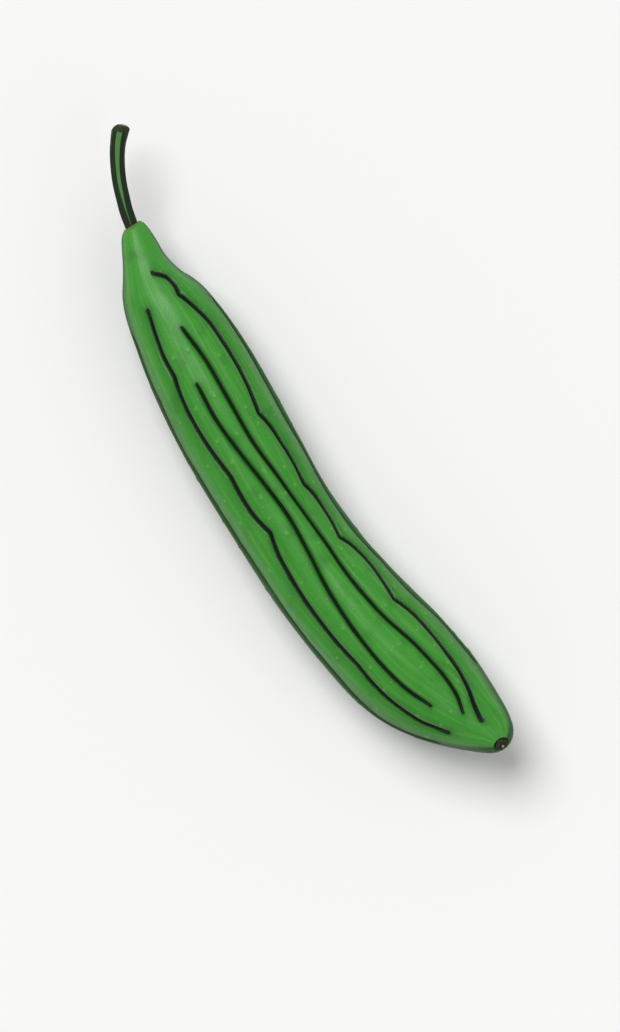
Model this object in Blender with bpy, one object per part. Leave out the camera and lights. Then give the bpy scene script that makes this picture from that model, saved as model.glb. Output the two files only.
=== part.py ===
"""A ribbed cucumber with its cut stem, lying on its side as picked.

The fruit is one body: rings set along a bent middle line, with lengthwise furrows pressed into
them. The line is halfway between the two edges of the fruit's outline from above. The stem stands
in a shallow socket in the neck. The dry scar that the blossom left sits in a dimple at the other
end. The fruit bends upwards there. Its two low spots are cut flat, and it rests on them.

Frame: +X runs from the stem to the blossom end, +Y points into the hollow side of the bend and
+Z is up. The origin is on the resting surface, under the middle of the whole object. The driving
sizes are in millimetres and degrees, with distances along X from the neck's end, and placed()
turns a point into metres.
"""

from collections import namedtuple
from functools import cache
from math import asin, ceil, cos, degrees, hypot, pi, radians, sin
from random import Random

import bmesh
import bpy
import numpy as np
from mathutils import Vector

MM = 0.001
UP = Vector((0, 0, 1))
MIDDLE_OF_ALL = Vector((110.6, -6.6, 0))

# The fruit's outline seen from above, where the two tips of a caliper held across it meet it:
# distance along X and place across on the hollow side of the bend, then both on the outer side.
FRUIT_EDGES = (
    (0.7, 3.4, 0.7, -3.6),
    (1.2, 3.8, 1.2, -4.3),
    (2.1, 4.4, 1.9, -5.3),
    (3.6, 4.8, 2.8, -6.2),
    (6.2, 5.1, 3.8, -7.0),
    (11, 5.1, 7, -8.9),
    (17.5, 4.9, 12.5, -12.0),
    (22.5, 5.7, 17.5, -15.2),
    (27, 7.0, 23, -18.9),
    (30.5, 8.8, 29.5, -21.8),
    (35, 10.4, 35, -23.5),
    (46, 12.1, 44, -25.8),
    (61.5, 12.9, 58.5, -28.9),
    (82, 12.2, 78, -31.8),
    (106.5, 10.2, 103.5, -33.6),
    (130.5, 8.7, 129.5, -34.1),
    (149, 9.4, 151, -34.3),
    (158, 10.2, 162, -34.2),
    (167, 11.7, 173, -33.5),
    (186, 15.4, 194, -31.1),
    (199.5, 18.2, 210.5, -27.9),
    (210.5, 19.8, 223.5, -23.1),
    (220, 20.8, 234, -16.6),
    (229, 20.9, 241, -10.8),
    (237, 20.7, 246, -5.8),
)
# The middle line from there to the tip: distance along X, place across, and how far it turns
# across for each millimetre along.
TIP_LINE = ((249, 10.2, 0.24), (252.5, 10.8, 0.1), (257, 10.8, 0))
# The round cap at the tip: its radius, its end along X, and the angles from its widest place
# where its rings begin and end.
CAP_RADIUS = 10.8
CAP_END = 255.2
CAP_ANGLES = (30, 71)
CAP_RINGS = 5
# Height of the middle line by distance along X.
HEIGHTS = (
    (0, 23.5),
    (12, 22.9),
    (24, 22.4),
    (40, 22.0),
    (60, 21.6),
    (85, 21.6),
    (112, 22.2),
    (140, 22.7),
    (168, 22.9),
    (196, 23.1),
    (216, 23.7),
    (230, 25.2),
    (240, 27.7),
    (248, 31.0),
    (252, 33.4),
    (257, 37.5),
)

# Distance along X and radius, for the socket of the stem and for the dimple of the scar.
SOCKET = ((3.4, 3.1), (1.8, 3.3))
DIMPLE = ((254.3, 3.0), (253.7, 2.8))
RING_SPACING = 6.0

# Furrows that show from above, by distance along X and place across. The stretches of a furrow
# meet at sharp turns, and each goes on from the last point of the one before it.
DRAWN_FURROWS = (
    (
        ((21.3, -3.7), (25, -1.0), (30, 0.7), (34.5, 0.3)),
        ((40, 2.2), (48, 4.1), (62, 4.7), (75, 4.0), (91.7, 1.1)),
        ((97, 2.0), (107, 2.2), (117, 1.8), (125, 0.8)),
        ((130, 1.7), (138, 2.1), (145, 1.9), (150.5, 1.2)),
        ((155, 3.1), (163, 5.0), (173, 5.9), (183, 6.0)),
        ((190, 8.5), (200, 10.5), (215, 11.9), (230, 11.3), (243.2, 9.4)),
    ),
    (
        ((33.3, -12.5), (42, -15.2), (50, -17.1), (61.5, -18.2)),
        ((68, -20.0), (78, -21.5), (92, -22.1), (106.7, -21.2)),
        ((115, -21.9), (125, -21.9), (134, -20.2)),
        ((142, -22.0), (155, -23.0), (168, -23.0), (183, -21.9), (197, -19.5)),
        ((210, -17.7), (222, -14.0), (231, -9.7), (239.2, -3.1)),
    ),
    (
        (
            (46.2, -5.7),
            (60, -4.7),
            (80, -5.6),
            (100, -6.7),
            (120, -5.7),
            (150, -4.3),
            (170, -3.4),
            (185, -1.1),
            (205, 4.0),
            (220, 6.4),
            (230, 6.3),
            (236.2, 5.1),
        ),
    ),
    (
        (
            (68.5, -12.5),
            (85, -14.0),
            (100, -13.3),
            (115, -12.0),
            (132, -10.9),
            (150, -12.1),
            (170, -13.7),
            (190, -13.2),
            (205, -11.3),
            (218, -7.9),
            (226.4, -3.9),
        ),
    ),
)
# How many times the place of a point on the skin is refined.
SEARCH_STEPS = 8
# The other furrows keep near these angles. Their turns are drawn from a fixed seed.
SIDE_FURROWS = (76, 101, 128, 157, 203, 232, 259, 285)
SEED = 11
TURN_SPACING = 34.0
TURN_SWAY = 2.5
MOST_BOW = 5.0
TURN_SHIFT = 0.2
SIDE_START = (30.0, 56.0)
SIDE_END = (218.0, 238.0)

# Across a furrow: a sharp crease between two lips, in a shallow valley between two ribs.
LIP_HALF_WIDTH = 1.8
MOST_LIP_SHARE = 0.3
CREASE_DEPTH = 1.0
VALLEY_DEPTH = 0.9
FADE_LENGTH = 9.0
RIB_COLUMN_ANGLE = 9.0

# The stem: the two tips of a caliper held across it, as for the fruit, and the height of its
# middle. Its cut end is rounded on one side only: the distance past the last ring, the radius,
# and how far it is set over to the hollow side of the stem's bend. Five low ridges run along it.
STEM_EDGES = (
    (3.6, 1.7, 2.4, -3.1, 23.4),
    (1.6, 2.2, 0.3, -2.7, 23.5),
    (-0.7, 2.8, -2.1, -2.2, 23.6),
    (-4.2, 3.7, -5.8, -1.3, 24.0),
    (-9, 5.3, -11, 0.4, 24.6),
    (-14, 7.2, -16, 2.2, 25.3),
    (-18.8, 9.5, -21.2, 4.5, 26.2),
    (-23.5, 12.4, -26.5, 7.4, 27.2),
    (-28, 15.9, -32, 11.2, 28.6),
    (-30.7, 18.9, -35.3, 13.9, 29.4),
)
STEM_CUT = ((0.8, 3.3, 0.2), (1.7, 3.1, 0.5), (2.2, 2.7, 0.6), (2.8, 1.8, 0.6), (3.0, 0.8, 0.7))
STEM_RADIUS = 2.6
STEM_RIDGES = 5
STEM_RIDGE_HEIGHT = 0.2
STEM_COLUMNS = 20
STEM_RING_SPACING = 3.0

# The scar of the blossom, a low button with a point: height above its base and radius.
SCAR_BASE = 253.95
SCAR_OUTLINE = ((0.0, 2.4), (0.8, 2.6), (1.4, 2.4), (1.8, 1.8), (1.8, 1.1), (2.6, 0.5))
SCAR_COLUMNS = 16

SHARP_ANGLE = 50

# Colour and roughness of each surface.
SKIN_LOOK = ((0.067, 0.283, 0.047), 0.42)
STEM_LOOK = ((0.085, 0.200, 0.060), 0.7)
SCAR_LOOK = ((0.030, 0.022, 0.015), 0.8)

Furrow = namedtuple("Furrow", "start end angle")


class SmoothCurve:
    """A smooth curve through rows, which each hold a station and the values there."""

    def __init__(self, rows):
        table = np.array(rows, dtype=float)
        self.stations = table[:, 0]
        self.values = table[:, 1:]
        self.slopes = np.gradient(self.values, self.stations, axis=0)

    def at(self, station):
        i = int(np.clip(np.searchsorted(self.stations, station) - 1, 0, len(self.stations) - 2))
        width = self.stations[i + 1] - self.stations[i]
        share = np.clip((station - self.stations[i]) / width, 0, 1)
        rest = 1 - share
        start, end = self.values[i : i + 2]
        slope_in, slope_out = self.slopes[i : i + 2] * width
        ends = start * rest**2 * (1 + 2 * share) + end * share**2 * (1 + 2 * rest)
        return ends + slope_in * share * rest**2 - slope_out * share**2 * rest


def along(points, spacing):
    """Points of a smooth curve through the given ones, no further apart than the spacing."""
    steps = np.linalg.norm(np.diff(np.array(points, dtype=float), axis=0), axis=1)
    stations = np.concatenate(([0], np.cumsum(steps)))
    curve = SmoothCurve([(station, *point) for station, point in zip(stations, points)])
    found = []
    for station, step in zip(stations, steps):
        parts = ceil(step / spacing)
        found += [curve.at(station + step * part / parts) for part in range(parts)]
    return [*found, curve.at(stations[-1])]


def calipered(hollow_x, hollow_y, outer_x, outer_y):
    """What a caliper across the object reads: half its width there, the middle along X and
    across, and how far the object turns across for each millimetre along."""
    across = hollow_y - outer_y
    along_x = outer_x - hollow_x
    return hypot(along_x, across) / 2, (hollow_x + outer_x) / 2, (hollow_y + outer_y) / 2, along_x / across


@cache
def middle_line():
    """The fruit's middle line by distance along X: the place across, and how far it turns."""
    rows = [calipered(*edges)[1:] for edges in FRUIT_EDGES]
    return SmoothCurve([*rows, *TIP_LINE])


@cache
def skin_outline():
    """Distance along X and radius of the skin, up to the end of the round cap."""
    rows = [calipered(*edges) for edges in FRUIT_EDGES]
    found = [(x, radius) for radius, x, *_ in rows]
    for angle in np.radians(np.linspace(*CAP_ANGLES, CAP_RINGS)):
        found.append((CAP_END - CAP_RADIUS * (1 - sin(angle)), CAP_RADIUS * cos(angle)))
    return found


def turning_furrow(turns):
    """A furrow of bowed stretches, from the distance, angle and bow at each of its turns."""

    def angle(x):
        for (start, from_angle, bow), (end, to_angle, _) in zip(turns, turns[1:]):
            if x <= end:
                break
        share = min(max((x - start) / (end - start), 0), 1)
        return from_angle + (to_angle - from_angle) * share + 4 * bow * share * (1 - share)

    return Furrow(turns[0][0], turns[-1][0], angle)


def drawn_furrow(stretches):
    """A furrow through places that show from above. Its stretches meet at sharp turns."""
    curves = []
    turn = []
    for stretch in stretches:
        points = [*turn, *stretch]
        curves.append(SmoothCurve([seen_at(*point) for point in points]))
        turn = points[-1:]

    def angle(x):
        for curve in curves:
            if x <= curve.stations[-1]:
                break
        return float(curve.at(x)[0])

    return Furrow(curves[0].stations[0], curves[-1].stations[-1], angle)


def side_furrow(home, draw):
    """A furrow that keeps near its home angle, with turns at drawn places."""
    start = draw.uniform(*SIDE_START)
    end = draw.uniform(*SIDE_END)
    stretches = round((end - start) / TURN_SPACING)
    turns = []
    for i in range(stretches + 1):
        shift = draw.uniform(-TURN_SHIFT, TURN_SHIFT) if 0 < i < stretches else 0
        x = start + (end - start) * (i + shift) / stretches
        sway = draw.uniform(-TURN_SWAY, TURN_SWAY)
        turns.append((x, home + sway, draw.uniform(-MOST_BOW, MOST_BOW)))
    return turning_furrow(turns)


def all_furrows():
    """Every furrow, in order round the fruit."""
    draw = Random(SEED)
    found = [drawn_furrow(stretches) for stretches in DRAWN_FURROWS]
    found += [side_furrow(home, draw) for home in SIDE_FURROWS]
    return sorted(found, key=lambda furrow: furrow.angle(MIDDLE_OF_ALL.x))


def depth_share(furrow, x):
    """How much of its depth a furrow has: it fades in and out over its ends."""
    inside = min(x - furrow.start, furrow.end - x) / FADE_LENGTH
    inside = min(max(inside, 0), 1)
    return inside * (2 - inside)


def valley(share):
    """The depth of the valley at a share of the way from one furrow to the next."""
    return VALLEY_DEPTH * max(1 - 2 * share, 0) ** 2


def relief(furrows, x, radius):
    """The angle and the depth of each point round a ring, with columns that follow the furrows."""
    found = []
    for here, after in zip(furrows, [*furrows[1:], furrows[0]]):
        angle = here.angle(x)
        gap = (after.angle(x) - angle) % 360
        usual_gap = (after.angle(MIDDLE_OF_ALL.x) - here.angle(MIDDLE_OF_ALL.x)) % 360
        lip = min(degrees(LIP_HALF_WIDTH / radius) / gap, MOST_LIP_SHARE)
        ribs = round(usual_gap / RIB_COLUMN_ANGLE)
        shares = [0, *(lip + (1 - 2 * lip) * i / (ribs + 1) for i in range(ribs + 2))]
        for share in shares:
            depth = valley(share) * depth_share(here, x) + valley(1 - share) * depth_share(after, x)
            if share == 0:
                depth += CREASE_DEPTH * depth_share(here, x)
            found.append((radians(angle + share * gap), depth))
    return found


def axes_across(along_line):
    """The two directions across a line: level, and as far up as it can be."""
    side = UP.cross(along_line).normalized()
    return side, along_line.cross(side).normalized()


def ring(centre, along_line, polar):
    """Points round a centre, across a line, from their angles and radii."""
    side, up = axes_across(along_line)
    return [centre + (side * sin(angle) + up * cos(angle)) * radius for angle, radius in polar]


def on_middle_line(x):
    """The point on the fruit's middle line, and the line's direction there."""
    across, turn = middle_line().at(x)
    heights = SmoothCurve(HEIGHTS)
    before, height, after = (heights.at(at)[0] for at in (x - 0.5, x, x + 0.5))
    return Vector((x, across, height)), Vector((1, turn, after - before)).normalized()


def seen_at(x, y):
    """The distance along X of the ring, and the angle on it in degrees, where the bottom of a
    furrow shows from above at a place."""
    radii = SmoothCurve(skin_outline())
    station = x
    for _ in range(SEARCH_STEPS):
        centre, line = on_middle_line(station)
        side, up = axes_across(line)
        radius = radii.at(station)[0] - VALLEY_DEPTH - CREASE_DEPTH
        angle = asin(max(-1, min(side.dot(Vector((x, y, centre.z)) - centre) / radius, 1)))
        station += x - (centre + (side * sin(angle) + up * cos(angle)) * radius).x
    return station, degrees(angle)


def placed(point):
    return (point - MIDDLE_OF_ALL) * MM


def next_loop(shell, loop):
    """A new loop of vertices, extruded from the last, in the same order."""
    edges = [shell.edges.get(pair) for pair in zip(loop, [*loop[1:], loop[0]])]
    made = set(bmesh.ops.extrude_edge_only(shell, edges=edges)["geom"])
    found = []
    for vert in loop:
        neighbours = {edge.other_vert(vert) for edge in vert.link_edges}
        found += neighbours & made
    return found


def skin_over(rings):
    """A closed shell over rings that have the same number of points."""
    shell = bmesh.new()
    loop = bmesh.ops.create_circle(shell, segments=len(rings[0]))["verts"]
    first = loop
    for points in rings:
        if points is not rings[0]:
            loop = next_loop(shell, loop)
        for vert, point in zip(loop, points):
            vert.co = placed(point)
    shell.faces.new(first)
    shell.faces.new(loop)
    bmesh.ops.recalc_face_normals(shell, faces=shell.faces)
    return shell


def finish(name, colour, roughness):
    material = bpy.data.materials.new(name)
    material.use_nodes = True
    shader = material.node_tree.nodes["Principled BSDF"]
    shader.inputs["Base Color"].default_value = (*colour, 1)
    shader.inputs["Roughness"].default_value = roughness
    shader.inputs["Metallic"].default_value = 0
    return material


def add_piece(name, shell, material):
    mesh = bpy.data.meshes.new(name)
    shell.to_mesh(mesh)
    shell.free()
    mesh.materials.append(material)
    mesh.shade_smooth()
    mesh.set_sharp_from_angle(angle=radians(SHARP_ANGLE))
    piece = bpy.data.objects.new(name, mesh)
    bpy.context.scene.collection.objects.link(piece)


def cut_resting_spots(shell):
    """Cut off what reaches below the resting surface, which leaves two flat spots."""
    everything = [*shell.verts, *shell.edges, *shell.faces]
    cut = bmesh.ops.bisect_plane(shell, geom=everything, plane_no=-UP, clear_outer=True)["geom_cut"]
    rims = [item for item in cut if isinstance(item, bmesh.types.BMEdge)]
    bmesh.ops.holes_fill(shell, edges=rims)
    bmesh.ops.recalc_face_normals(shell, faces=shell.faces)


def add_fruit():
    furrows = all_furrows()
    rings = []
    for x, radius in (*SOCKET, *along(skin_outline(), RING_SPACING), *DIMPLE):
        polar = [(angle, radius - depth) for angle, depth in relief(furrows, x, radius)]
        rings.append(ring(*on_middle_line(x), polar))
    shell = skin_over(rings)
    cut_resting_spots(shell)
    add_piece("fruit", shell, finish("skin", *SKIN_LOOK))


def stem_polar(radius):
    """The stem's ridged section at a radius, with a ridge on top."""
    angles = [2 * pi * i / STEM_COLUMNS for i in range(STEM_COLUMNS)]
    height = STEM_RIDGE_HEIGHT * min(radius / STEM_RADIUS, 1)
    return [(angle, radius + height * cos(STEM_RIDGES * angle)) for angle in angles]


def add_stem():
    rows = []
    for *edges, height in STEM_EDGES:
        radius, x, y, _ = calipered(*edges)
        rows.append((x, y, height, radius))
    rows = along(rows, STEM_RING_SPACING)
    centres = [Vector(row[:3]) for row in rows]
    neighbours = zip([centres[0], *centres], [*centres[1:], centres[-1]])
    lines = [(after - before).normalized() for before, after in neighbours]
    rings = [ring(centre, line, stem_polar(row[3])) for centre, line, row in zip(centres, lines, rows)]
    level, _ = axes_across(lines[-1])
    for past, radius, over in STEM_CUT:
        centre = centres[-1] + lines[-1] * past - level * over
        rings.append(ring(centre, lines[-1], stem_polar(radius)))
    add_piece("stem", skin_over(rings), finish("stem_skin", *STEM_LOOK))


def add_blossom_scar():
    base, line = on_middle_line(SCAR_BASE)
    angles = [2 * pi * i / SCAR_COLUMNS for i in range(SCAR_COLUMNS)]
    rings = []
    for height, radius in SCAR_OUTLINE:
        rings.append(ring(base + line * height, line, [(angle, radius) for angle in angles]))
    add_piece("blossom_scar", skin_over(rings), finish("dry_scar", *SCAR_LOOK))


for old in list(bpy.data.objects):
    bpy.data.objects.remove(old)
add_fruit()
add_stem()
add_blossom_scar()
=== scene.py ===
"""The look of a ribbed cucumber with its cut stem, lying on its side as picked.

Three finely shaped pieces stand for the fruit, the stem and the dry scar of the blossom. They
follow the same lines as the solids that they replace. Sizes are in millimetres and degrees, with
distances along X from the neck's end, and placed() turns a point into metres in the frame. +X
runs from the stem to the blossom end, +Y points into the hollow side of the bend and +Z is up.
"""

from collections import namedtuple
from functools import cache
from math import asin, ceil, cos, degrees, hypot, pi, radians, sin
from random import Random

import bmesh
import bpy
import numpy as np
from mathutils import Matrix, Vector, noise


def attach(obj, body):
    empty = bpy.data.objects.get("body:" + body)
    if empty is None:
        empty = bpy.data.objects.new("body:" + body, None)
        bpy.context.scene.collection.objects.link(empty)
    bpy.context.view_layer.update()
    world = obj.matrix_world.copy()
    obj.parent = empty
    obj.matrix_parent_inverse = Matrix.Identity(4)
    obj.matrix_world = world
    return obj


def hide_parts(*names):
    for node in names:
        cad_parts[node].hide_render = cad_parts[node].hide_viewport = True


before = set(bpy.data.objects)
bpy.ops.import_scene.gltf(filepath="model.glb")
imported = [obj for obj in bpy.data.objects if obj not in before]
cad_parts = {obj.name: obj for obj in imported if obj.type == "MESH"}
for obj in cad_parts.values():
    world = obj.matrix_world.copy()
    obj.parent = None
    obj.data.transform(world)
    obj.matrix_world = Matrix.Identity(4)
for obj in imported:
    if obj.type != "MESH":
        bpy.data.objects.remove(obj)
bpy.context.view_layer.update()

MM = 0.001
UP = Vector((0, 0, 1))
MIDDLE_OF_ALL = Vector((110.6, -6.6, 0))
# Slopes and turns are measured from this far before a place to as far after it.
SLOPE_STEP = 0.5
# Points of a mesh that are closer together than this become one.
SAME_PLACE = 0.001

# The fruit's outline seen from above, where the two tips of a caliper held across it meet it:
# distance along X and place across on the hollow side of the bend, then both on the outer side.
FRUIT_EDGES = (
    (0.7, 3.4, 0.7, -3.6),
    (1.2, 3.8, 1.2, -4.3),
    (2.1, 4.4, 1.9, -5.3),
    (3.6, 4.8, 2.8, -6.2),
    (6.2, 5.1, 3.8, -7.0),
    (11, 5.1, 7, -8.9),
    (17.5, 4.9, 12.5, -12.0),
    (22.5, 5.7, 17.5, -15.2),
    (27, 7.0, 23, -18.9),
    (30.5, 8.8, 29.5, -21.8),
    (35, 10.4, 35, -23.5),
    (46, 12.1, 44, -25.8),
    (61.5, 12.9, 58.5, -28.9),
    (82, 12.2, 78, -31.8),
    (106.5, 10.2, 103.5, -33.6),
    (130.5, 8.7, 129.5, -34.1),
    (149, 9.4, 151, -34.3),
    (158, 10.2, 162, -34.2),
    (167, 11.7, 173, -33.5),
    (186, 15.4, 194, -31.1),
    (199.5, 18.2, 210.5, -27.9),
    (210.5, 19.8, 223.5, -23.1),
    (220, 20.8, 234, -16.6),
    (229, 20.9, 241, -10.8),
    (237, 20.7, 246, -5.8),
)
# The middle line from there to the tip: distance along X, place across, and how far it turns
# across for each millimetre along.
TIP_LINE = ((249, 10.2, 0.24), (252.5, 10.8, 0.1), (257, 10.8, 0))
# The round cap at the tip: its radius, its end along X, the angles from its widest place where
# its rings begin and end, and how many rings it has.
CAP_RADIUS = 10.8
CAP_END = 255.2
CAP_ANGLES = (30, 71)
CAP_RINGS = 5
# Height of the middle line by distance along X.
HEIGHTS = (
    (0, 23.5),
    (12, 22.9),
    (24, 22.4),
    (40, 22.0),
    (60, 21.6),
    (85, 21.6),
    (112, 22.2),
    (140, 22.7),
    (168, 22.9),
    (196, 23.1),
    (216, 23.7),
    (230, 25.2),
    (240, 27.7),
    (248, 31.0),
    (252, 33.4),
    (257, 37.5),
)

# Distance along X and radius, for the socket of the stem and for the dimple of the scar.
SOCKET = ((3.4, 2.7), (2.0, 2.8), (1.2, 2.9), (0.8, 3.1))
DIMPLE = ((254.6, 3.4), (254.4, 3.05), (254.0, 2.9), (253.7, 2.8))
RING_SPACING = 0.8
# The fruit's usual radius. Its columns are counted there, and so are the patterns of its skin.
USUAL_RADIUS = 22.0

# Furrows that show from above, by distance along X and place across. The stretches of a furrow
# meet at sharp turns, and each goes on from the last point of the one before it.
DRAWN_FURROWS = (
    (
        ((21.3, -3.7), (25, -1.0), (30, 0.7), (34.5, 0.3)),
        ((40, 2.2), (48, 4.1), (62, 4.7), (75, 4.0), (91.7, 1.1)),
        ((97, 2.0), (107, 2.2), (117, 1.8), (125, 0.8)),
        ((130, 1.7), (138, 2.1), (145, 1.9), (150.5, 1.2)),
        ((155, 3.1), (163, 5.0), (173, 5.9), (183, 6.0)),
        ((190, 8.5), (200, 10.5), (215, 11.9), (230, 11.3), (243.2, 9.4)),
    ),
    (
        ((33.3, -12.5), (42, -15.2), (50, -17.1), (61.5, -18.2)),
        ((68, -20.0), (78, -21.5), (92, -22.1), (106.7, -21.2)),
        ((115, -21.9), (125, -21.9), (134, -20.2)),
        ((142, -22.0), (155, -23.0), (168, -23.0), (183, -21.9), (197, -19.5)),
        ((210, -17.7), (222, -14.0), (231, -9.7), (239.2, -3.1)),
    ),
    (
        (
            (46.2, -5.7),
            (60, -4.7),
            (80, -5.6),
            (100, -6.7),
            (120, -5.7),
            (150, -4.3),
            (170, -3.4),
            (185, -1.1),
            (205, 4.0),
            (220, 6.4),
            (230, 6.3),
            (236.2, 5.1),
        ),
    ),
    (
        (
            (68.5, -12.5),
            (85, -14.0),
            (100, -13.3),
            (115, -12.0),
            (132, -10.9),
            (150, -12.1),
            (170, -13.7),
            (190, -13.2),
            (205, -11.3),
            (218, -7.9),
            (226.4, -3.9),
        ),
    ),
)
# How many times the place of a point on the skin is refined.
SEARCH_STEPS = 8
# Furrows with sharp turns are this much broader than the rest.
TURNING_BREADTH = 1.45
# The other furrows keep near these angles. Their turns are drawn from a fixed seed.
SIDE_FURROWS = (76, 101, 128, 157, 203, 232, 259, 285)
SEED = 11
TURN_SPACING = 34.0
TURN_SWAY = 2.5
MOST_BOW = 5.0
TURN_SHIFT = 0.2
SIDE_START = (30.0, 56.0)
SIDE_END = (218.0, 238.0)

# Across a furrow: a shallow valley between two ribs, a crease between two lips in it, and a
# narrow fold at the bottom of the crease.
VALLEY_DEPTH = 0.9
LIP_HALF_WIDTH = 1.8
CREASE_DEPTH = 1.0
FOLD_HALF_WIDTH = 0.8
FOLD_DEPTH = 0.9
FADE_LENGTH = 9.0

# Columns of the skin: distances of the near ones from a furrow's middle, the most of the way to
# the next furrow that they may take up, and the width of a column between them.
NEAR_COLUMNS = (0.0, 0.35, 0.7, 1.1, 1.6, 2.2)
MOST_NEAR_SHARE = 0.3
RIB_COLUMN_WIDTH = 0.72

# Puckers run from the scar over the tip: how many, how often they sway on the way round it, how
# deep they are and how far they reach.
PUCKERS = 17
PUCKER_SWAYS = 3
PUCKER_DEPTH = 0.16
PUCKER_START = 244.0

# Low swellings of the ribs, and the finer unevenness of the skin: size along, size across, height.
SWELLINGS = (26.0, 14.0, 0.28)
DIMPLING = (5.0, 3.4, 0.07)

# Low pimples in rows on the ribs: the stretch of the fruit that has them, the space between two,
# and where on a rib they are, as a share of the way between its furrows.
PIMPLED = (40.0, 238.0)
PIMPLE_SPACES = (7.0, 24.0)
PIMPLE_SHARES = (0.28, 0.72)
PIMPLE_RADIUS = 1.5
PIMPLE_HEIGHT = 0.22

# The five ridges of the stem run on over the neck and fade there.
NECK_RIDGE_HEIGHT = 0.3
NECK_RIDGE_END = 11.0

# The stem: the two tips of a caliper held across it, as for the fruit, and the height of its
# middle. Its cut end is rounded on one side only: the distance past the last ring, the radius,
# and how far it is set over to the hollow side of the stem's bend. Five low ridges run along it.
STEM_EDGES = (
    (3.6, 1.7, 2.4, -3.1, 23.4),
    (1.6, 2.2, 0.3, -2.7, 23.5),
    (-0.7, 2.8, -2.1, -2.2, 23.6),
    (-4.2, 3.7, -5.8, -1.3, 24.0),
    (-9, 5.3, -11, 0.4, 24.6),
    (-14, 7.2, -16, 2.2, 25.3),
    (-18.8, 9.5, -21.2, 4.5, 26.2),
    (-23.5, 12.4, -26.5, 7.4, 27.2),
    (-28, 15.9, -32, 11.2, 28.6),
    (-30.7, 18.9, -35.3, 13.9, 29.4),
)
STEM_CUT = (
    (0.2, 3.4, 0),
    (0.8, 3.3, 0.2),
    (1.7, 3.1, 0.5),
    (2.2, 2.7, 0.6),
    (2.8, 1.8, 0.6),
    (3.0, 0.8, 0.7),
    (3.0, 0.3, 0.7),
)
STEM_RADIUS = 2.6
STEM_RIDGES = 5
STEM_RIDGE_HEIGHT = 0.2
STEM_FIBRES = (9.0, 0.8, 0.16)
STEM_COLUMNS = 90
STEM_RING_SPACING = 0.5
CUT_RING_SPACING = 0.2
# The mark named cut rises from 0 at the last ring to 1 this far past it.
CUT_MARK_LENGTH = 1.0

# The scar of the blossom, a low button with a point: height above its base and radius. Waves run
# round its edge: how many, how far they reach as a share of the radius, and where they start.
# Wrinkles start at a radius near the point and are full a millimetre further out. They fade again
# in the lowest millimetre.
SCAR_BASE = 253.95
SCAR_OUTLINE = ((0.0, 2.4), (0.8, 2.6), (1.4, 2.4), (1.8, 1.8), (1.8, 1.1), (2.1, 0.7), (2.6, 0.4))
SCAR_WAVES = ((5, 0.06, 0.4), (9, 0.04, 0), (16, 0.02, 1))
SCAR_WRINKLES = 14
SCAR_WRINKLE_START = 0.6
SCAR_WRINKLE_DEPTH = 0.16
SCAR_COLUMNS = 112
SCAR_RING_SPACING = 0.12

# Colours of the finishes.
RIB_GREEN = (0.044, 0.275, 0.028)
LIGHT_GREEN = (0.095, 0.345, 0.055)
# DEEP_GREEN is the mottling's darker tone, and also painted shade in the valleys and lips of the
# furrows.
DEEP_GREEN = (0.013, 0.100, 0.009)
# Painted shade on the flanks and the underside.
FLANK_PAINTED_SHADE = (0.007, 0.055, 0.005)
# Painted shade: the near-black of the creases.
CREASE_PAINTED_SHADE = (0.003, 0.010, 0.003)
FLECK_GREEN = (0.200, 0.400, 0.090)
BELLY_YELLOW = (0.360, 0.420, 0.110)
CORK = (0.120, 0.130, 0.050)
# Painted shade: the near-black of the stem, all but its top ridge.
STEM_PAINTED_SHADE = (0.008, 0.020, 0.006)
STEM_GREEN = (0.075, 0.215, 0.055)
STEM_PALE = (0.190, 0.330, 0.140)
CUT_RIM = (0.030, 0.035, 0.016)
CUT_PITH = (0.230, 0.220, 0.110)
SCAR_BLACK = (0.010, 0.008, 0.006)
SCAR_RUST = (0.075, 0.045, 0.024)
# The straw-brown point also stands in for a painted glint.
SCAR_STRAW_AND_PAINTED_GLINT = (0.420, 0.330, 0.210)
FLOOR_WHITE = (0.910, 0.910, 0.900)

# Random patterns of the finishes: the size of their patches along each axis, and how many finer
# layers they have. Their values lie round a middle.
PATTERN_MIDDLE = 0.5
STREAKS = ((34, 1.5, 1.5), 4)
MOTTLING = ((8, 8, 8), 3)
GRAIN = ((0.7, 0.7, 0.7), 3)
FIBRES = ((10, 0.4, 0.4), 3)
STEM_CRUMBS = ((0.5, 0.35, 0.35), 3)
SCAR_CRUMBS = ((0.5, 0.5, 0.5), 4)
# Flecks: the space between two, their radius and the share of them that is kept.
FLECKS = (2.2, 0.38, 0.4)
# A dot is full within this share of its radius. A random number from 0 to 1 decides whether it is
# kept, and only within this distance of the limit is it faint.
DOT_CORE = 0.5
KEPT_EDGE = 0.02

# Where the parts of the skin's finish start and where they are full. The crease, lip and valley go
# by the distance from a furrow, the flank by the height over the middle of the straightened fruit,
# the belly by the height over the floor, and the blossom end and the collar by the distance along
# the skin. The crease, lip, valley and flank are painted shade. The streaks and the mottling go by
# the value of their pattern, and the pimples by the share of their height.
CREASE_FADE = (0.95, 0.5)
LIP_FADE = (2.0, 0.7)
VALLEY_FADE = (4.5, 1.0)
FLANK_FADE = (13, 4)
BELLY_FADE = (7.5, 2.5)
BLOSSOM_END_FADE = (195, 262)
COLLAR_FADE = (5.5, 3.2)
STREAK_FADE = (0.42, 0.75)
MOTTLE_FADE = (0.5, 0.8)
PIMPLE_FADE = (0.3, 0.9)
# How far their edges waver: the crease's with the grain and with the mottling.
CREASE_GRAIN_WAVER = 0.4
CREASE_WAVER = 0.5
FLANK_WAVER = 5
BELLY_WAVER = 9
COLLAR_WAVER = 2
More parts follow.
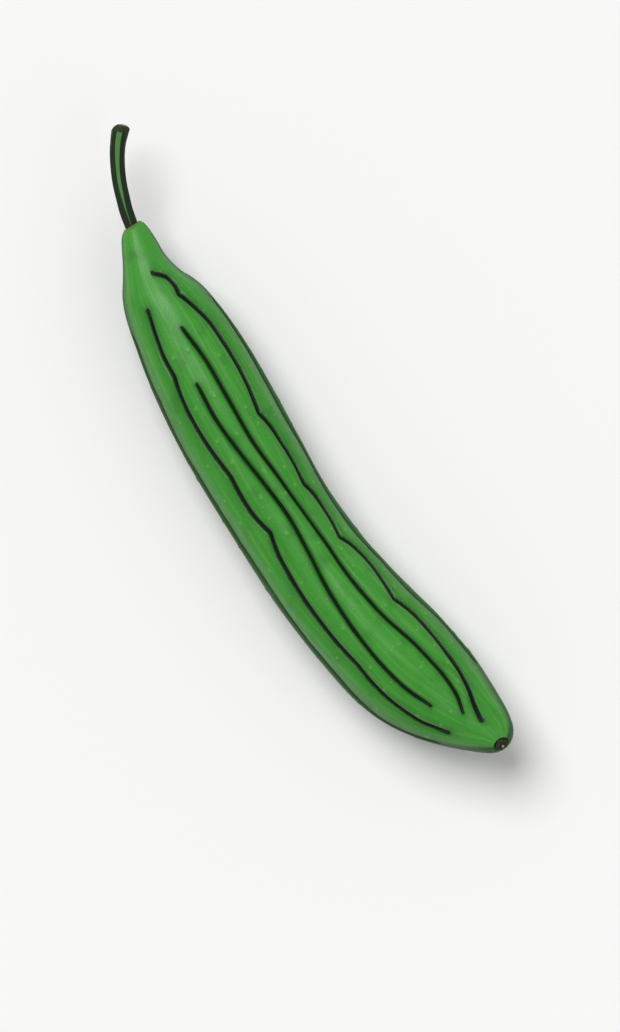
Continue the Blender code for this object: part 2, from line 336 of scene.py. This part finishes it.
# How strongly they colour the skin. The streaks gain strength towards the blossom end.
STREAK_STRENGTH = 0.7
STREAK_GAIN = 0.3
MOTTLE_STRENGTH = 0.35
VALLEY_SHADE_STRENGTH = 0.25
LIP_SHADE_STRENGTH = 0.3
FLANK_SHADE_STRENGTH = 0.85
BELLY_STRENGTH = 0.7
FLECK_STRENGTH = 0.45
PIMPLE_STRENGTH = 0.4
# The skin's roughness, what the grain, the creases and the flanks add to it, and its reflection.
SKIN_ROUGHNESS = 0.30
GRAIN_ROUGHNESS = 0.14
CREASE_ROUGHNESS = 0.35
FLANK_ROUGHNESS = 0.2
SKIN_REFLECTION = 0.3
# The skin's fine relief: its depth, and the shares that the streaks and flecks have in it.
SKIN_RELIEF = 0.08
STREAK_RELIEF = 0.5
FLECK_RELIEF = 0.6

# The stem's pale ridge: the distances along the stem between which it widens, the heights over
# the stem's middle between which it comes in, and the values of the ridge's wave and its width
# together where it starts and is full. Its edge wavers with the fibres. Only this ridge on top
# keeps the stem's green, and the rest of the stem is painted near-black as shade.
RIDGE_WIDENS = (2, 40)
RIDGE_TOP = (1.4, 2.4)
RIDGE_FADE = (0.75, 1.15)
RIDGE_WAVER = 0.6
# The stem's pale fibres: the pattern's values where they start and are full, how strong they are
# on the dark flanks, and what they gain on the ridge.
FIBRE_FADE = (0.5, 0.8)
FIBRE_STRENGTH = 0.1
FIBRE_GAIN = 0.5
# The stem's cut end: the radii where the pith starts and is full, the same for the mark named cut,
# and how far the edges of both waver.
PITH_FADE = (2.2, 1.2)
PITH_WAVER = 0.8
CUT_FADE = (0.1, 0.5)
CUT_WAVER = 0.6
# The stem's roughness, what the fibres and the cut add to it, its reflection, its fine relief, and
# the share that the crumbs of the cut have in it.
STEM_ROUGHNESS = 0.55
FIBRE_ROUGHNESS = 0.3
CUT_ROUGHNESS = 0.15
STEM_REFLECTION = 0.25
STEM_RELIEF = 0.15
CRUMB_RELIEF = 0.8

# The scar's rust, by its crumbs and a share of its wrinkles, which paints their crests lighter
# and their grooves darker as painted light and shade, and its straw-brown point, which also
# stands in for a painted glint, by the height above its base: where they start and are full.
RUST_FADE = (0.55, 1.0)
WRINKLE_SHADE_SHARE = 0.4
STRAW_FADE = (2.1, 2.6)
STRAW_WAVER = 0.5
# The scar's roughness, what its crumbs add to it, and its fine relief.
SCAR_ROUGHNESS = 0.65
CRUMB_ROUGHNESS = 0.3
SCAR_RELIEF = 0.2

Furrow = namedtuple("Furrow", "start end angle breadth")


class SmoothCurve:
    """A smooth curve through rows, which each hold a station and the values there."""

    def __init__(self, rows):
        table = np.array(rows, dtype=float)
        self.stations = table[:, 0]
        self.values = table[:, 1:]
        self.slopes = np.gradient(self.values, self.stations, axis=0)

    def at(self, station):
        i = int(np.clip(np.searchsorted(self.stations, station) - 1, 0, len(self.stations) - 2))
        width = self.stations[i + 1] - self.stations[i]
        share = np.clip((station - self.stations[i]) / width, 0, 1)
        rest = 1 - share
        start, end = self.values[i : i + 2]
        slope_in, slope_out = self.slopes[i : i + 2] * width
        ends = start * rest**2 * (1 + 2 * share) + end * share**2 * (1 + 2 * rest)
        return ends + slope_in * share * rest**2 - slope_out * share**2 * rest


def travelled(points):
    """How far along the line through some points each of them is."""
    steps = np.linalg.norm(np.diff(np.array(points, dtype=float), axis=0), axis=1)
    return np.concatenate(([0], np.cumsum(steps)))


def along(points, spacing):
    """Points of a smooth curve through the given ones, no further apart than the spacing."""
    stations = travelled(points)
    curve = SmoothCurve([(station, *point) for station, point in zip(stations, points)])
    found = []
    for start, end in zip(stations, stations[1:]):
        parts = ceil((end - start) / spacing)
        found += [curve.at(start + (end - start) * part / parts) for part in range(parts)]
    return [*found, curve.at(stations[-1])]


def calipered(hollow_x, hollow_y, outer_x, outer_y):
    """What a caliper across the object reads: half its width there, the middle along X and
    across, and how far the object turns across for each millimetre along."""
    across = hollow_y - outer_y
    along_x = outer_x - hollow_x
    radius = hypot(along_x, across) / 2
    return radius, (hollow_x + outer_x) / 2, (hollow_y + outer_y) / 2, along_x / across


@cache
def middle_line():
    """The fruit's middle line by distance along X: the place across, and how far it turns."""
    rows = [calipered(*edges)[1:] for edges in FRUIT_EDGES]
    return SmoothCurve([*rows, *TIP_LINE])


@cache
def skin_outline():
    """Distance along X and radius of the skin, up to the end of the round cap."""
    rows = [calipered(*edges) for edges in FRUIT_EDGES]
    found = [(x, radius) for radius, x, *_ in rows]
    for angle in np.radians(np.linspace(*CAP_ANGLES, CAP_RINGS)):
        found.append((CAP_END - CAP_RADIUS * (1 - sin(angle)), CAP_RADIUS * cos(angle)))
    return found


def turning_furrow(turns):
    """A furrow of bowed stretches, from the distance, angle and bow at each of its turns."""

    def angle(x):
        for (start, from_angle, bow), (end, to_angle, _) in zip(turns, turns[1:]):
            if x <= end:
                break
        share = min(max((x - start) / (end - start), 0), 1)
        return from_angle + (to_angle - from_angle) * share + 4 * bow * share * (1 - share)

    return Furrow(turns[0][0], turns[-1][0], angle, 1.0)


def drawn_furrow(stretches):
    """A furrow through places that show from above. Its stretches meet at sharp turns."""
    curves = []
    turn = []
    for stretch in stretches:
        points = [*turn, *stretch]
        curves.append(SmoothCurve([seen_at(*point) for point in points]))
        turn = points[-1:]

    def angle(x):
        for curve in curves:
            if x <= curve.stations[-1]:
                break
        return float(curve.at(x)[0])

    breadth = TURNING_BREADTH if len(curves) > 1 else 1.0
    return Furrow(curves[0].stations[0], curves[-1].stations[-1], angle, breadth)


def side_furrow(home, draw):
    """A furrow that keeps near its home angle, with turns at drawn places."""
    start = draw.uniform(*SIDE_START)
    end = draw.uniform(*SIDE_END)
    stretches = round((end - start) / TURN_SPACING)
    turns = []
    for i in range(stretches + 1):
        shift = draw.uniform(-TURN_SHIFT, TURN_SHIFT) if 0 < i < stretches else 0
        x = start + (end - start) * (i + shift) / stretches
        sway = draw.uniform(-TURN_SWAY, TURN_SWAY)
        turns.append((x, home + sway, draw.uniform(-MOST_BOW, MOST_BOW)))
    return turning_furrow(turns)


def all_furrows():
    """Every furrow, in order round the fruit."""
    draw = Random(SEED)
    found = [drawn_furrow(stretches) for stretches in DRAWN_FURROWS]
    found += [side_furrow(home, draw) for home in SIDE_FURROWS]
    return sorted(found, key=lambda furrow: furrow.angle(MIDDLE_OF_ALL.x))


def ribs_between(furrows):
    """Each rib as the furrow before it and the furrow after it."""
    return zip(furrows, [*furrows[1:], furrows[0]])


def depth_share(furrow, x):
    """How much of its depth a furrow has: it fades in and out over its ends."""
    inside = min(x - furrow.start, furrow.end - x) / FADE_LENGTH
    inside = min(max(inside, 0), 1)
    return inside * (2 - inside)


def furrow_depth(share, distance):
    """How far the skin lies below a rib's top, from the share of the way to the next furrow and
    the distance from this one."""
    valley = VALLEY_DEPTH * np.maximum(1 - 2 * share, 0) ** 2
    crease = CREASE_DEPTH * np.maximum(1 - (distance / LIP_HALF_WIDTH) ** 2, 0) ** 2
    fold = FOLD_DEPTH * np.maximum(1 - distance / FOLD_HALF_WIDTH, 0)
    return valley + crease + fold


def distance_to(furrow, x, across, radius):
    """The distance from a furrow's line, for points across it at a station along the fruit. It
    counts for less where the furrow is broad."""
    turn = radians(furrow.angle(x + SLOPE_STEP) - furrow.angle(x - SLOPE_STEP))
    slant = radius * turn / (2 * SLOPE_STEP)
    past_end = max(furrow.start - x, x - furrow.end, 0)
    return np.hypot(across / hypot(1, slant), past_end) / furrow.breadth


def columns_round(furrows, x, radius):
    """The angle, the depth and the distance from the nearest furrow, of each column of a ring."""
    angles, depths, distances = [], [], []
    for here, after in ribs_between(furrows):
        usual_gap = (after.angle(MIDDLE_OF_ALL.x) - here.angle(MIDDLE_OF_ALL.x)) % 360
        usual_width = radians(usual_gap) * USUAL_RADIUS
        columns = round((usual_width - 2 * NEAR_COLUMNS[-1]) / RIB_COLUMN_WIDTH)
        gap = (after.angle(x) - here.angle(x)) % 360
        width = radians(gap) * radius
        share_of_one = min(1 / width, MOST_NEAR_SHARE / NEAR_COLUMNS[-1])
        near = np.array(NEAR_COLUMNS) * share_of_one
        middle = np.linspace(near[-1], 1 - near[-1], columns + 2)[1:-1]
        share = np.concatenate((near, middle, 1 - near[:0:-1]))
        depth = furrow_depth(share, share / share_of_one) * depth_share(here, x)
        depth += furrow_depth(1 - share, (1 - share) / share_of_one) * depth_share(after, x)
        from_here = distance_to(here, x, share * width, radius)
        from_after = distance_to(after, x, (1 - share) * width, radius)
        angles.append(here.angle(x) + share * gap)
        depths.append(depth)
        distances.append(np.minimum(from_here, from_after))
    return np.radians(np.concatenate(angles)), np.concatenate(depths), np.concatenate(distances)


def drawn_pimples(furrows):
    """Drawn places of the pimples: distance along X, and angle."""
    draw = Random(SEED)
    found = []
    for here, after in ribs_between(furrows):
        x = PIMPLED[0] + draw.uniform(*PIMPLE_SPACES)
        while x < PIMPLED[1]:
            gap = (after.angle(x) - here.angle(x)) % 360
            found.append((x, radians(here.angle(x) + gap * draw.uniform(*PIMPLE_SHARES))))
            x += draw.uniform(*PIMPLE_SPACES)
    return found


def pimple_share(pimples, x, angles, radius):
    """How high the pimples are at each angle of a ring, as a share of their full height."""
    found = np.zeros(len(angles))
    for at, angle in pimples:
        if abs(x - at) < PIMPLE_RADIUS:
            across = radius * ((angles - angle + pi) % (2 * pi) - pi)
            distance = np.hypot(x - at, across)
            found += np.maximum(1 - (distance / PIMPLE_RADIUS) ** 2, 0) ** 2
    return found


def neck_ridges(x, angles):
    """The ridges of the stem, running on over the neck."""
    fade = max(1 - x / NECK_RIDGE_END, 0) ** 2
    return NECK_RIDGE_HEIGHT * fade * np.cos(STEM_RIDGES * angles)


def tip_puckers(x, angles):
    """Shallow puckers that deepen over the tip, up to the scar."""
    rise = max(x - PUCKER_START, 0) / (CAP_END - PUCKER_START)
    return PUCKER_DEPTH * rise**2 * np.cos(PUCKERS * angles + np.sin(PUCKER_SWAYS * angles))


def axes_across(along_line):
    """The two directions across a line: level, and as far up as it can be."""
    side = UP.cross(along_line).normalized()
    return side, along_line.cross(side).normalized()


def ring(centre, along_line, angles, radii, lifts=0.0):
    """Points round a centre, across a line, from their angles and radii, and from how far each
    is lifted along the line."""
    side, up = (np.array(axis) for axis in axes_across(along_line))
    directions = np.outer(np.sin(angles), side) + np.outer(np.cos(angles), up)
    lifted = np.outer(np.broadcast_to(lifts, len(angles)), along_line)
    return np.array(centre) + directions * radii[:, None] + lifted


def straightened(station, angles, radii):
    """The points of a ring as they would be on a straight fruit or stem."""
    stations = np.full(len(angles), station)
    return np.stack((stations, np.sin(angles) * radii, np.cos(angles) * radii), axis=1)


def unevenness(points, along_size, across_size, height):
    """A random swelling at each point of a straightened ring."""
    sizes = np.array((along_size, across_size, across_size))
    return height * np.array([noise.noise(Vector(point)) for point in points / sizes])


def on_middle_line(x):
    """The point on the fruit's middle line, and the line's direction there."""
    across, turn = middle_line().at(x)
    heights = SmoothCurve(HEIGHTS)
    before, height, after = (heights.at(at)[0] for at in (x - SLOPE_STEP, x, x + SLOPE_STEP))
    slope = (after - before) / (2 * SLOPE_STEP)
    return Vector((x, across, height)), Vector((1, turn, slope)).normalized()


def seen_at(x, y):
    """The distance along X of the ring, and the angle on it in degrees, where the bottom of a
    furrow shows from above at a place."""
    radii = SmoothCurve(skin_outline())
    station = x
    for _ in range(SEARCH_STEPS):
        centre, line = on_middle_line(station)
        side, up = axes_across(line)
        radius = radii.at(station)[0] - VALLEY_DEPTH - CREASE_DEPTH
        angle = asin(max(-1, min(side.dot(Vector((x, y, centre.z)) - centre) / radius, 1)))
        station += x - (centre + (side * sin(angle) + up * cos(angle)) * radius).x
    return station, degrees(angle)


def placed(point):
    return (Vector(point) - MIDDLE_OF_ALL) * MM


def skin_over(rings, marks):
    """A closed shell over rings that have the same number of points: a grid, rolled up. The marks
    are values for each point of each ring, that the finish reads by their names."""
    shell = bmesh.new()
    layers = []
    for name, values in marks.items():
        kinds = shell.verts.layers.float_vector if np.ndim(values) == 3 else shell.verts.layers.float
        layers.append((kinds.new(name), values))
    columns = len(rings[0])
    bmesh.ops.create_grid(shell, x_segments=columns, y_segments=len(rings) - 1)
    for i, vert in enumerate(shell.verts):
        row, column = divmod(i, columns + 1)
        column %= columns
        vert.co = placed(rings[row][column])
        for layer, values in layers:
            vert[layer] = values[row][column]
    bmesh.ops.remove_doubles(shell, verts=shell.verts, dist=SAME_PLACE * MM)
    bmesh.ops.holes_fill(shell, edges=shell.edges)
    bmesh.ops.recalc_face_normals(shell, faces=shell.faces)
    return shell


def fruit_shell():
    """The skin of the fruit, from the socket of the stem to the dimple of the scar."""
    furrows = all_furrows()
    pimples = drawn_pimples(furrows)
    outline = [*SOCKET, *along(skin_outline(), RING_SPACING), *DIMPLE]
    rings = []
    marks = {"unbent": [], "from_furrow": [], "pimple": []}
    for (x, radius), station in zip(outline, travelled(outline)):
        angles, depths, distances = columns_round(furrows, x, radius)
        unbent = straightened(station, angles, USUAL_RADIUS)
        bumps = pimple_share(pimples, x, angles, radius)
        swelling = unevenness(unbent, *SWELLINGS) + unevenness(unbent, *DIMPLING)
        swelling = (swelling + PIMPLE_HEIGHT * bumps) * min(radius / USUAL_RADIUS, 1)
        radii = radius - depths + swelling + neck_ridges(x, angles) + tip_puckers(x, angles)
        points = ring(*on_middle_line(x), angles, radii)
        points[:, 2] = np.maximum(points[:, 2], 0)
        rings.append(points)
        marks["unbent"].append(unbent)
        marks["from_furrow"].append(distances)
        marks["pimple"].append(bumps)
    return skin_over(rings, marks)


def stem_shell():
    """The ridged stem, from the socket to its cut end."""
    rows = []
    for *edges, height in STEM_EDGES:
        radius, x, y, _ = calipered(*edges)
        rows.append((x, y, height, radius))
    rows = along(rows, STEM_RING_SPACING)
    centres = [Vector(row[:3]) for row in rows]
    neighbours = zip([centres[0], *centres], [*centres[1:], centres[-1]])
    lines = [(after - before).normalized() for before, after in neighbours]
    stretches = [(centre, line, row[3], 0.0) for centre, line, row in zip(centres, lines, rows)]
    level, _ = axes_across(lines[-1])
    for past, radius, over in along(STEM_CUT, CUT_RING_SPACING):
        centre = centres[-1] + lines[-1] * past - level * over
        stretches.append((centre, lines[-1], radius, min(past / CUT_MARK_LENGTH, 1.0)))
    angles = np.linspace(0, 2 * pi, STEM_COLUMNS, endpoint=False)
    ridge = np.cos(STEM_RIDGES * angles)
    rings = []
    marks = {"unbent": [], "ridge": [], "radius": [], "cut": []}
    stations = travelled([centre for centre, *_ in stretches])
    for (centre, line, radius, cut), station in zip(stretches, stations):
        unbent = straightened(station, angles, radius)
        fullness = min(radius / STEM_RADIUS, 1)
        radii = radius + (STEM_RIDGE_HEIGHT * ridge + unevenness(unbent, *STEM_FIBRES)) * fullness
        rings.append(ring(centre, line, angles, radii))
        marks["unbent"].append(unbent)
        marks["ridge"].append(ridge)
        marks["radius"].append(radii)
        marks["cut"].append(np.full(STEM_COLUMNS, cut))
    return skin_over(rings, marks)


def scar_shell():
    """The dry button of the blossom, with a wavy edge and a wrinkled top."""
    base, line = on_middle_line(SCAR_BASE)
    angles = np.linspace(0, 2 * pi, SCAR_COLUMNS, endpoint=False)
    wave = 1 + sum(reach * np.cos(count * angles + start) for count, reach, start in SCAR_WAVES)
    wrinkle = np.cos(SCAR_WRINKLES * angles)
    rings = []
    marks = {"unbent": [], "wrinkle": []}
    for height, radius in along(SCAR_OUTLINE, SCAR_RING_SPACING):
        wrinkled = min(height, 1) * min(max(radius - SCAR_WRINKLE_START, 0), 1) * wrinkle
        radii = radius * wave
        rings.append(ring(base + line * height, line, angles, radii, SCAR_WRINKLE_DEPTH * wrinkled))
        marks["unbent"].append(straightened(height, angles, radii))
        marks["wrinkle"].append(wrinkled)
    return skin_over(rings, marks)


def add_object(name, data):
    """A new object in the scene: its data is a mesh, a camera or a lamp."""
    made = bpy.data.objects.new(name, data)
    bpy.context.scene.collection.objects.link(made)
    return made


def add_surface(name, shell, finish):
    """A new object from a shell, which is used up."""
    mesh = bpy.data.meshes.new(name)
    shell.to_mesh(mesh)
    shell.free()
    mesh.materials.append(finish)
    return add_object(name, mesh)


def add_piece(name, shell, finish, *replaced, slot):
    piece = add_surface(name, shell, finish)
    piece.data.shade_smooth()
    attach(piece, "root")
    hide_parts(*replaced)


class Field:
    """A value that varies over a surface. Arithmetic on it adds Math nodes to its finish."""

    def __init__(self, finish, socket):
        self.finish = finish
        self.socket = socket

    def other(self, output):
        """Another output of the same node."""
        return Field(self.finish, self.socket.node.outputs[output])

    def maths(self, operation, first, second):
        return self.finish.node("ShaderNodeMath", {"operation": operation}, {0: first, 1: second})

    def __add__(self, other):
        return self.maths("ADD", self, other)

    def __radd__(self, other):
        return self.maths("ADD", other, self)

    def __sub__(self, other):
        return self.maths("SUBTRACT", self, other)

    def __mul__(self, other):
        return self.maths("MULTIPLY", self, other)

    def __rmul__(self, other):
        return self.maths("MULTIPLY", other, self)


class Finish:
    """A finish: its material, and the nodes that colour its shader."""

    def __init__(self, name):
        self.material = bpy.data.materials.new(name)
        self.material.use_nodes = True
        self.shader = self.material.node_tree.nodes["Principled BSDF"]

    def feed(self, socket, value):
        if isinstance(value, Field):
            self.material.node_tree.links.new(value.socket, socket)
        elif socket.type == "RGBA":
            socket.default_value = (*value, 1)
        else:
            socket.default_value = value

    def node(self, kind, settings, inputs, output=0):
        """A new node's output. Its settings are made first, and then its sockets are fed."""
        made = self.material.node_tree.nodes.new(kind)
        for name, value in settings.items():
            setattr(made, name, value)
        for socket, value in inputs.items():
            self.feed(made.inputs[socket], value)
        return Field(self, made.outputs[output])

    def shade(self, **values):
        """Feeds the shader's own sockets, such as base_color for Base Color."""
        for name, value in values.items():
            self.feed(self.shader.inputs[name.replace("_", " ").title()], value)

    def mark(self, name, output):
        """What the mesh says under a name at each point."""
        return self.node("ShaderNodeAttribute", {"attribute_name": name}, {}, output)

    def part(self, place, axis):
        return self.node("ShaderNodeSeparateXYZ", {}, {"Vector": place}, axis)

    def stretched(self, place, sizes):
        """A place, divided by the sizes of a pattern along each axis."""
        scale = [1 / size for size in sizes]
        return self.node("ShaderNodeVectorMath", {"operation": "MULTIPLY"}, {0: place, 1: scale})

    def place(self):
        """The place on the object in millimetres."""
        return self.stretched(self.node("ShaderNodeTexCoord", {}, {}, "Object"), (MM, MM, MM))

    def cloud(self, place, sizes, detail):
        """A random pattern with smooth patches of the sizes, and with finer ones in them."""
        inputs = {"Vector": self.stretched(place, sizes), "Scale": 1.0, "Detail": detail}
        return self.node("ShaderNodeTexNoise", {}, inputs)

    def fade(self, value, start, end):
        """A smooth rise from 0 at the start to 1 at the end. The start may be the higher one."""
        settings = {"interpolation_type": "SMOOTHSTEP"}
        inputs = {"Value": value, "From Min": start, "From Max": end}
        return self.node("ShaderNodeMapRange", settings, inputs)

    def blend(self, share, first, second):
        """From the first colour to the second."""
        return self.node("ShaderNodeMix", {"data_type": "RGBA"}, {0: share, 6: first, 7: second}, 2)

    def dots(self, place, spacing, radius, kept):
        """Round dots at random places, and how many of them are kept, from 0 to 1."""
        inputs = {"Vector": self.stretched(place, (spacing, spacing, spacing)), "Scale": 1.0}
        distance = self.node("ShaderNodeTexVoronoi", {}, inputs)
        pick = self.node("ShaderNodeSeparateColor", {}, {"Color": distance.other("Color")})
        size = radius / spacing
        return self.fade(distance, size, size * DOT_CORE) * self.fade(pick, kept, kept - KEPT_EDGE)

    def relief(self, height, depth):
        """The surface's normal, where a height of 1 stands for a depth in millimetres."""
        inputs = {"Height": height, "Distance": depth * MM, "Strength": 1.0}
        return self.node("ShaderNodeBump", {}, inputs)


def wavering(value, pattern, reach):
    """A value made uneven by a random pattern."""
    return value + reach * (pattern - PATTERN_MIDDLE)


def skin_finish():
    """Waxy green skin: streaks along the fruit, pale flecks and a paler belly, with painted shade
    that makes the creases near-black and darkens the edges of the furrows and the flanks."""
    skin = Finish("skin")
    from_furrow = skin.mark("from_furrow", "Fac")
    pimple = skin.mark("pimple", "Fac")
    unbent = skin.mark("unbent", "Vector")
    station = skin.part(unbent, "X")
    height = skin.part(unbent, "Z")
    place = skin.place()
    streaks = skin.cloud(unbent, *STREAKS)
    mottling = skin.cloud(place, *MOTTLING)
    grain = skin.cloud(place, *GRAIN)
    flecks = skin.dots(place, *FLECKS)
    crease_place = wavering(from_furrow, grain, CREASE_GRAIN_WAVER)
    crease = skin.fade(wavering(crease_place, mottling, CREASE_WAVER), *CREASE_FADE)
    lip = skin.fade(from_furrow, *LIP_FADE)
    valley = skin.fade(from_furrow, *VALLEY_FADE)
    flank = skin.fade(wavering(height, mottling, FLANK_WAVER), *FLANK_FADE)
    belly = skin.fade(wavering(skin.part(place, "Z"), mottling, BELLY_WAVER), *BELLY_FADE)
    blossom_end = skin.fade(station, *BLOSSOM_END_FADE)
    collar = skin.fade(wavering(station, grain, COLLAR_WAVER), *COLLAR_FADE)
    streaked = skin.fade(streaks, *STREAK_FADE) * (STREAK_STRENGTH + STREAK_GAIN * blossom_end)
    colour = skin.blend(streaked, RIB_GREEN, LIGHT_GREEN)
    mottled = skin.fade(mottling, *MOTTLE_FADE) * MOTTLE_STRENGTH
    colour = skin.blend(mottled, colour, DEEP_GREEN)
    # Painted shade: the valleys and lips of the furrows are darkened towards the creases.
    colour = skin.blend(valley * VALLEY_SHADE_STRENGTH + lip * LIP_SHADE_STRENGTH, colour, DEEP_GREEN)
    # Painted shade: the skin darkens from its sides down over its underside.
    colour = skin.blend(flank * FLANK_SHADE_STRENGTH, colour, FLANK_PAINTED_SHADE)
    colour = skin.blend(belly * BELLY_STRENGTH, colour, BELLY_YELLOW)
    colour = skin.blend(flecks * FLECK_STRENGTH, colour, FLECK_GREEN)
    colour = skin.blend(skin.fade(pimple, *PIMPLE_FADE) * PIMPLE_STRENGTH, colour, FLECK_GREEN)
    # Painted shade: the creases are painted near-black.
    colour = skin.blend(crease, colour, CREASE_PAINTED_SHADE)
    colour = skin.blend(collar, colour, CORK)
    relief = skin.relief(grain + STREAK_RELIEF * streaks + FLECK_RELIEF * flecks, SKIN_RELIEF)
    gloss_lost = GRAIN_ROUGHNESS * grain + CREASE_ROUGHNESS * crease + FLANK_ROUGHNESS * flank
    skin.shade(base_color=colour, roughness=SKIN_ROUGHNESS + gloss_lost, normal=relief)
    skin.shader.inputs["Specular IOR Level"].default_value = SKIN_REFLECTION
    return skin.material


def stem_finish():
    """Grey-green fibrous stem: flanks painted near-black as shade, a pale ridge on top that narrows
    towards the fruit, and a dried cut with a paler pith."""
    stem = Finish("stem_skin")
    unbent = stem.mark("unbent", "Vector")
    ridge = stem.mark("ridge", "Fac")
    radius = stem.mark("radius", "Fac")
    cut = stem.mark("cut", "Fac")
    station = stem.part(unbent, "X")
    height = stem.part(unbent, "Z")
    fibres = stem.cloud(unbent, *FIBRES)
    crumbs = stem.cloud(unbent, *STEM_CRUMBS)
    width = stem.fade(station, *RIDGE_WIDENS)
    top = stem.fade(height, *RIDGE_TOP)
    core = stem.fade(wavering(ridge + width, fibres, RIDGE_WAVER), *RIDGE_FADE) * top
    # Painted shade: all of the stem but the green ridge on its top is near-black.
    colour = stem.blend(core, STEM_PAINTED_SHADE, STEM_GREEN)
    fibrous = stem.fade(fibres, *FIBRE_FADE) * (FIBRE_STRENGTH + FIBRE_GAIN * core)
    colour = stem.blend(fibrous, colour, STEM_PALE)
    pith = stem.fade(wavering(radius, crumbs, PITH_WAVER), *PITH_FADE)
    face = stem.blend(pith, CUT_RIM, CUT_PITH)
    colour = stem.blend(stem.fade(wavering(cut, crumbs, CUT_WAVER), *CUT_FADE), colour, face)
    relief = stem.relief(fibres + CRUMB_RELIEF * cut * crumbs, STEM_RELIEF)
    roughness = STEM_ROUGHNESS + FIBRE_ROUGHNESS * fibres + CUT_ROUGHNESS * cut
    stem.shade(base_color=colour, roughness=roughness, normal=relief)
    stem.shader.inputs["Specular IOR Level"].default_value = STEM_REFLECTION
    return stem.material


def scar_finish():
    """Dry, nearly black scar: rust-brown crumbs, wrinkles with painted shade in their grooves, and a
    straw-brown point that also stands in for a painted glint.
    """
    scar = Finish("dry_scar")
    unbent = scar.mark("unbent", "Vector")
    wrinkle = scar.mark("wrinkle", "Fac")
    height = scar.part(unbent, "X")
    crumbs = scar.cloud(unbent, *SCAR_CRUMBS)
    # The wrinkles paint their crests rust-brown and leave their grooves black, as painted shade.
    rust = scar.fade(WRINKLE_SHADE_SHARE * wrinkle + crumbs, *RUST_FADE)
    colour = scar.blend(rust, SCAR_BLACK, SCAR_RUST)
    straw = scar.fade(wavering(height, crumbs, STRAW_WAVER), *STRAW_FADE)
    # The straw-brown point also stands in for a painted glint.
    colour = scar.blend(straw, colour, SCAR_STRAW_AND_PAINTED_GLINT)
    relief = scar.relief(crumbs, SCAR_RELIEF)
    roughness = SCAR_ROUGHNESS + CRUMB_ROUGHNESS * crumbs
    scar.shade(base_color=colour, roughness=roughness, normal=relief)
    return scar.material


# The picture: its height in pixels and the size of one at the fruit's widest line, how far the
# fruit's length is turned in it, and the point at its middle.
PICTURE_HEIGHT = 1032
PIXEL = 0.4
PICTURE_TURN = 57.0
PICTURE_MIDDLE = (136.95, -3.56, 22.0)
# The camera's lens, the width of its sensor, and how many metres it sees.
LENS = 300.0
SENSOR = 36.0
SIGHT = 50
# Each lamp: its direction to the picture's right, to its top and up, its spread and its strength.
MAIN_LAMP = ((-0.5, 0.7, 1.4), 36, 2.15)
FILL_LAMP = ((0.9, -0.6, 1.1), 50, 0.45)
# The round floor: its radius in metres, its corners and its roughness.
FLOOR_RADIUS = 6.0
FLOOR_CORNERS = 64
FLOOR_ROUGHNESS = 0.9
# The even light from all round: white, and its strength.
SKY_WHITE = (1, 1, 1, 1)
SKY_STRENGTH = 0.35


def picture_axes():
    """The directions to the picture's right and to its top."""
    turn = radians(PICTURE_TURN)
    return Vector((cos(turn), sin(turn), 0)), Vector((-sin(turn), cos(turn), 0))


def add_camera():
    camera = add_object("camera", bpy.data.cameras.new("camera"))
    camera.data.lens = LENS
    camera.data.sensor_width = SENSOR
    camera.data.clip_end = SIGHT
    distance = LENS * PICTURE_HEIGHT * PIXEL / SENSOR
    right, top = picture_axes()
    turned = Matrix((right, top, UP)).transposed().to_4x4()
    camera.matrix_world = Matrix.Translation(placed(PICTURE_MIDDLE) + UP * distance * MM) @ turned
    bpy.context.scene.camera = camera


def add_lamp(name, direction, spread, strength):
    """A soft lamp far away, as wide as its spread in degrees. Its direction is given to the
    picture's right, to its top and up."""
    lamp = add_object(name, bpy.data.lights.new(name, "SUN"))
    lamp.data.angle = radians(spread)
    lamp.data.energy = strength
    right, top = picture_axes()
    towards = right * direction[0] + top * direction[1] + UP * direction[2]
    lamp.rotation_euler = towards.to_track_quat("Z", "Y").to_euler()


def add_stage():
    """A plain pale floor and soft light."""
    floor_shell = bmesh.new()
    bmesh.ops.create_circle(floor_shell, cap_ends=True, segments=FLOOR_CORNERS, radius=FLOOR_RADIUS)
    paint = Finish("floor_paint")
    paint.shade(base_color=FLOOR_WHITE, roughness=FLOOR_ROUGHNESS)
    floor = add_surface("floor", floor_shell, paint.material)
    add_lamp("main_lamp", *MAIN_LAMP)
    add_lamp("fill_lamp", *FILL_LAMP)
    world = bpy.data.worlds.new("studio")
    world.use_nodes = True
    world.node_tree.nodes["Background"].inputs["Color"].default_value = SKY_WHITE
    world.node_tree.nodes["Background"].inputs["Strength"].default_value = SKY_STRENGTH
    bpy.context.scene.world = world
    bpy.context.scene.view_settings.view_transform = "Standard"


add_piece("fruit_skin", fruit_shell(), skin_finish(), "fruit", slot="skin")
add_piece("ridged_stem", stem_shell(), stem_finish(), "stem", slot="stem_skin")
add_piece("dry_scar", scar_shell(), scar_finish(), "blossom_scar", slot="dry_scar")
add_camera()
add_stage()
